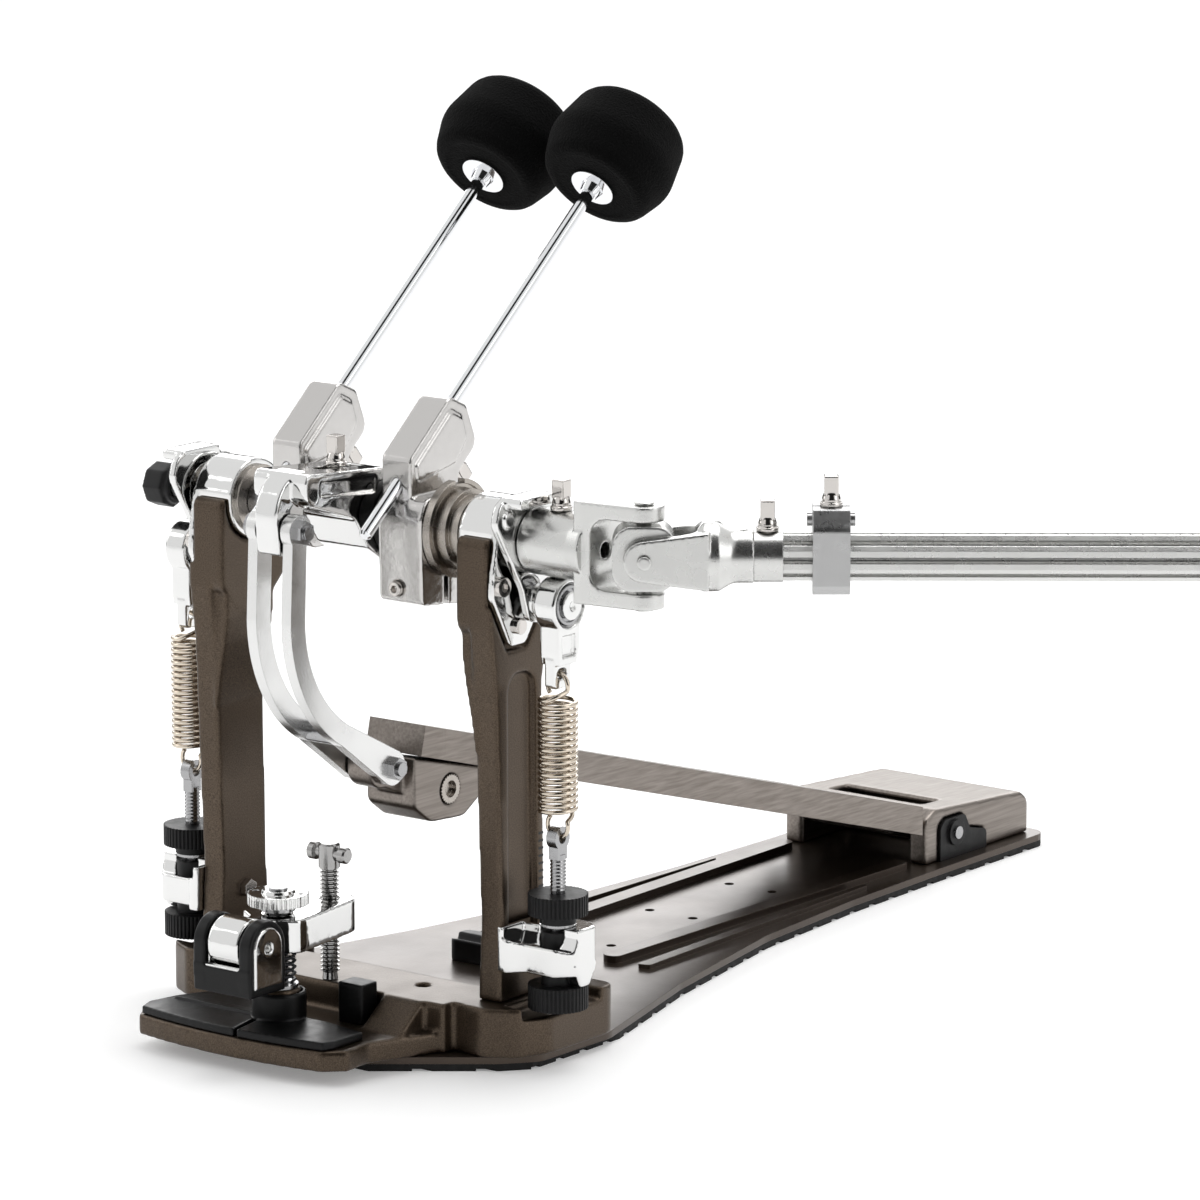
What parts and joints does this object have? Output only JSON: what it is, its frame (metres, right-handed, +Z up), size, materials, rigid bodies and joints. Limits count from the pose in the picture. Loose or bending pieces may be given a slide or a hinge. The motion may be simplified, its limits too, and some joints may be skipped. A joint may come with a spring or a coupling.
{
  "type": "double bass drum pedal",
  "caption": "Direct-drive bass drum pedal with long tapered footboard, paired felt beaters on one axle line, return springs, hoop clamp and telescopic drive shaft on universal joints.",
  "frame": {"origin": "on the floor, midway between the two posts and under the rocker axle", "axes": "+X along the rocker axle towards the drive shaft, +Y from the drum towards the heel, +Z up"},
  "size_m": [0.6345, 0.539, 0.3881],
  "materials": {
    "steel_plate_paint": "satin",
    "floor_rubber": "matte",
    "black_rubber": "matte",
    "bronze_paint": "satin",
    "chrome": "polished",
    "plated_steel": "satin",
    "dark_spring": "satin",
    "nickel_spring": "polished",
    "bearing_bronze": "satin",
    "black_plastic": "matte",
    "felt": "matte",
    "satin_aluminium": "satin",
    "bronze_aluminium": "brushed"
  },
  "bodies": {
    "base": {"base_plate": "steel_plate_paint", "base_rubber": "floor_rubber", "rubber_stops": "black_rubber", "front_casting": "bronze_paint", "hoop_pads": "black_rubber", "clamp_bolt": "plated_steel", "clamp_spring": "dark_spring", "left_post": "bronze_paint", "right_post": "bronze_paint", "bearing_housings": "chrome", "axle_bearings": "bearing_bronze", "post_screws": "bearing_bronze", "tension_screws": "plated_steel", "lower_knobs": "black_plastic", "tension_brackets": "chrome", "heel_block": "bronze_aluminium", "heel_bushes": "black_plastic", "hinge_pin": "plated_steel"},
    "main_axle": {"main_axle": "plated_steel", "axle_trim": "black_plastic", "left_lever": "chrome", "rocker": "chrome", "beater_holder_1": "chrome", "main_key_bolts": "plated_steel"},
    "beater_1": {"beater_rod_1": "chrome", "beater_head_1": "felt"},
    "near_axle": {"near_hub": "bearing_bronze", "right_lever": "chrome", "beater_holder_2": "chrome", "near_key_bolts": "plated_steel", "yoke_1": "satin_aluminium"},
    "beater_2": {"beater_rod_2": "chrome", "beater_head_2": "felt"},
    "link": {"link_arms": "satin_aluminium", "link_pins": "plated_steel"},
    "footboard": {"footboard": "bronze_aluminium", "link_carrier": "bronze_aluminium", "adjuster_wheel": "bearing_bronze"},
    "left_hanger": {"left_hanger": "chrome", "left_hanger_bearing": "plated_steel"},
    "right_hanger": {"right_hanger": "chrome", "right_hanger_bearing": "plated_steel"},
    "left_spring": {"left_spring": "nickel_spring"},
    "right_spring": {"right_spring": "nickel_spring"},
    "left_knob": {"left_upper_knob": "black_plastic"},
    "right_knob": {"right_upper_knob": "black_plastic"},
    "clamp_jaw": {"clamp_jaw": "chrome"},
    "clamp_shoe": {"shoe": "chrome", "shoe_rubber": "black_rubber"},
    "clamp_dial": {"clamp_dial": "chrome"},
    "t_bolt": {"t_bolt": "plated_steel"},
    "cross_1": {"cross_1": "plated_steel"},
    "drive_shaft": {"fork_1": "satin_aluminium", "inner_shaft": "satin_aluminium", "memory_lock": "satin_aluminium", "shaft_key_bolts": "plated_steel"},
    "outer_tube": {"outer_tube": "satin_aluminium", "fork_2": "satin_aluminium"},
    "cross_2": {"cross_2": "plated_steel"},
    "helper_yoke": {"helper_yoke": "satin_aluminium"}
  },
  "joints": [
    {"name": "main_beater_stroke", "type": "hinge", "parent": "base", "child": "main_axle", "pos_m": [0, 0, 0.22], "axis": [1, 0, 0], "range_deg": [0, 30], "stiffness_Nm_per_rad": 1.2},
    {"name": "near_beater_stroke", "type": "hinge", "parent": "base", "child": "near_axle", "pos_m": [0.06, 0, 0.22], "axis": [1, 0, 0], "range_deg": [0, 30], "stiffness_Nm_per_rad": 1.2},
    {"name": "footboard_hinge", "type": "hinge", "parent": "base", "child": "footboard", "pos_m": [0, 0.374, 0.018], "axis": [1, 0, 0], "range_deg": [-0.5, 8]},
    {"name": "link_pivot", "type": "hinge", "parent": "main_axle", "child": "link", "pos_m": [0, -0.058, 0.223], "axis": [1, 0, 0], "range_deg": [-45, 2]},
    {"name": "left_hanger_pivot", "type": "hinge", "parent": "main_axle", "child": "left_hanger", "pos_m": [-0.099, 0.0015, 0.1945], "axis": [1, 0, 0], "range_deg": [-45, 2]},
    {"name": "right_hanger_pivot", "type": "hinge", "parent": "near_axle", "child": "right_hanger", "pos_m": [0.099, 0.0015, 0.1945], "axis": [1, 0, 0], "range_deg": [-45, 2]},
    {"name": "left_spring_stretch", "type": "slide", "parent": "left_hanger", "child": "left_spring", "axis": [0, 0, -1], "range_m": [-0.001, 0.012], "deforming": ["left_spring"]},
    {"name": "right_spring_stretch", "type": "slide", "parent": "right_hanger", "child": "right_spring", "axis": [0, 0, -1], "range_m": [-0.001, 0.012], "deforming": ["right_spring"]},
    {"name": "beater_1_height", "type": "slide", "parent": "main_axle", "child": "beater_1", "axis": [0, 0.7716, 0.6361], "range_m": [-0.02, 0.02]},
    {"name": "beater_2_height", "type": "slide", "parent": "near_axle", "child": "beater_2", "axis": [0, 0.7716, 0.6361], "range_m": [-0.02, 0.02]},
    {"name": "left_knob_turn", "type": "hinge", "parent": "base", "child": "left_knob", "pos_m": [-0.099, 0, 0.069], "axis": [0, 0, 1], "continuous": true},
    {"name": "right_knob_turn", "type": "hinge", "parent": "base", "child": "right_knob", "pos_m": [0.099, 0, 0.069], "axis": [0, 0, 1], "continuous": true},
    {"name": "clamp_jaw_tilt", "type": "hinge", "parent": "base", "child": "clamp_jaw", "pos_m": [0, -0.0605, 0.05], "axis": [1, 0, 0], "range_deg": [0, 5], "deforming": ["clamp_spring"]},
    {"name": "clamp_shoe_swivel", "type": "hinge", "parent": "clamp_jaw", "child": "clamp_shoe", "pos_m": [0, -0.0855, 0.0545], "axis": [1, 0, 0], "range_deg": [-8, 8]},
    {"name": "clamp_dial_turn", "type": "hinge", "parent": "base", "child": "clamp_dial", "pos_m": [0, -0.0605, 0.068], "axis": [0, 0, 1], "continuous": true},
    {"name": "t_bolt_turn", "type": "hinge", "parent": "clamp_jaw", "child": "t_bolt", "pos_m": [0, -0.0275, 0.07], "axis": [0, 0, 1], "continuous": true},
    {"name": "near_cross_pivot", "type": "hinge", "parent": "near_axle", "child": "cross_1", "pos_m": [0.143, 0, 0.22], "axis": [0, 0, 1], "range_deg": [-5, 1]},
    {"name": "drive_shaft_turn", "type": "hinge", "parent": "base", "child": "drive_shaft", "pos_m": [0.143, 0, 0.22], "axis": [0.7986, 0.6018, 0], "range_deg": [-1, 26]},
    {"name": "drive_shaft_length", "type": "slide", "parent": "drive_shaft", "child": "outer_tube", "axis": [0.7986, 0.6018, 0], "range_m": [-0.04, 0.055]},
    {"name": "far_fork_pivot", "type": "hinge", "parent": "outer_tube", "child": "cross_2", "pos_m": [0.46245, 0.24073, 0.22], "axis": [-0.6018, 0.7986, 0], "range_deg": [-25, 25]},
    {"name": "helper_yoke_pivot", "type": "hinge", "parent": "cross_2", "child": "helper_yoke", "pos_m": [0.46245, 0.24073, 0.22], "axis": [0, 0, 1], "range_deg": [-6, 30]}
  ],
  "couplings": [
    {"joint": "footboard_hinge", "follows": "main_beater_stroke", "ratio": 0.1812},
    {"joint": "link_pivot", "follows": "main_beater_stroke", "ratio": -1.2154},
    {"joint": "left_hanger_pivot", "follows": "main_beater_stroke", "ratio": -1.2329},
    {"joint": "left_spring_stretch", "follows": "main_beater_stroke", "m_per_rad": 0.00978},
    {"joint": "right_hanger_pivot", "follows": "near_beater_stroke", "ratio": -1.2329},
    {"joint": "right_spring_stretch", "follows": "near_beater_stroke", "m_per_rad": 0.00978},
    {"joint": "near_cross_pivot", "follows": "near_beater_stroke", "ratio": -0.115},
    {"joint": "drive_shaft_turn", "follows": "near_beater_stroke", "ratio": 0.818}
  ]
}
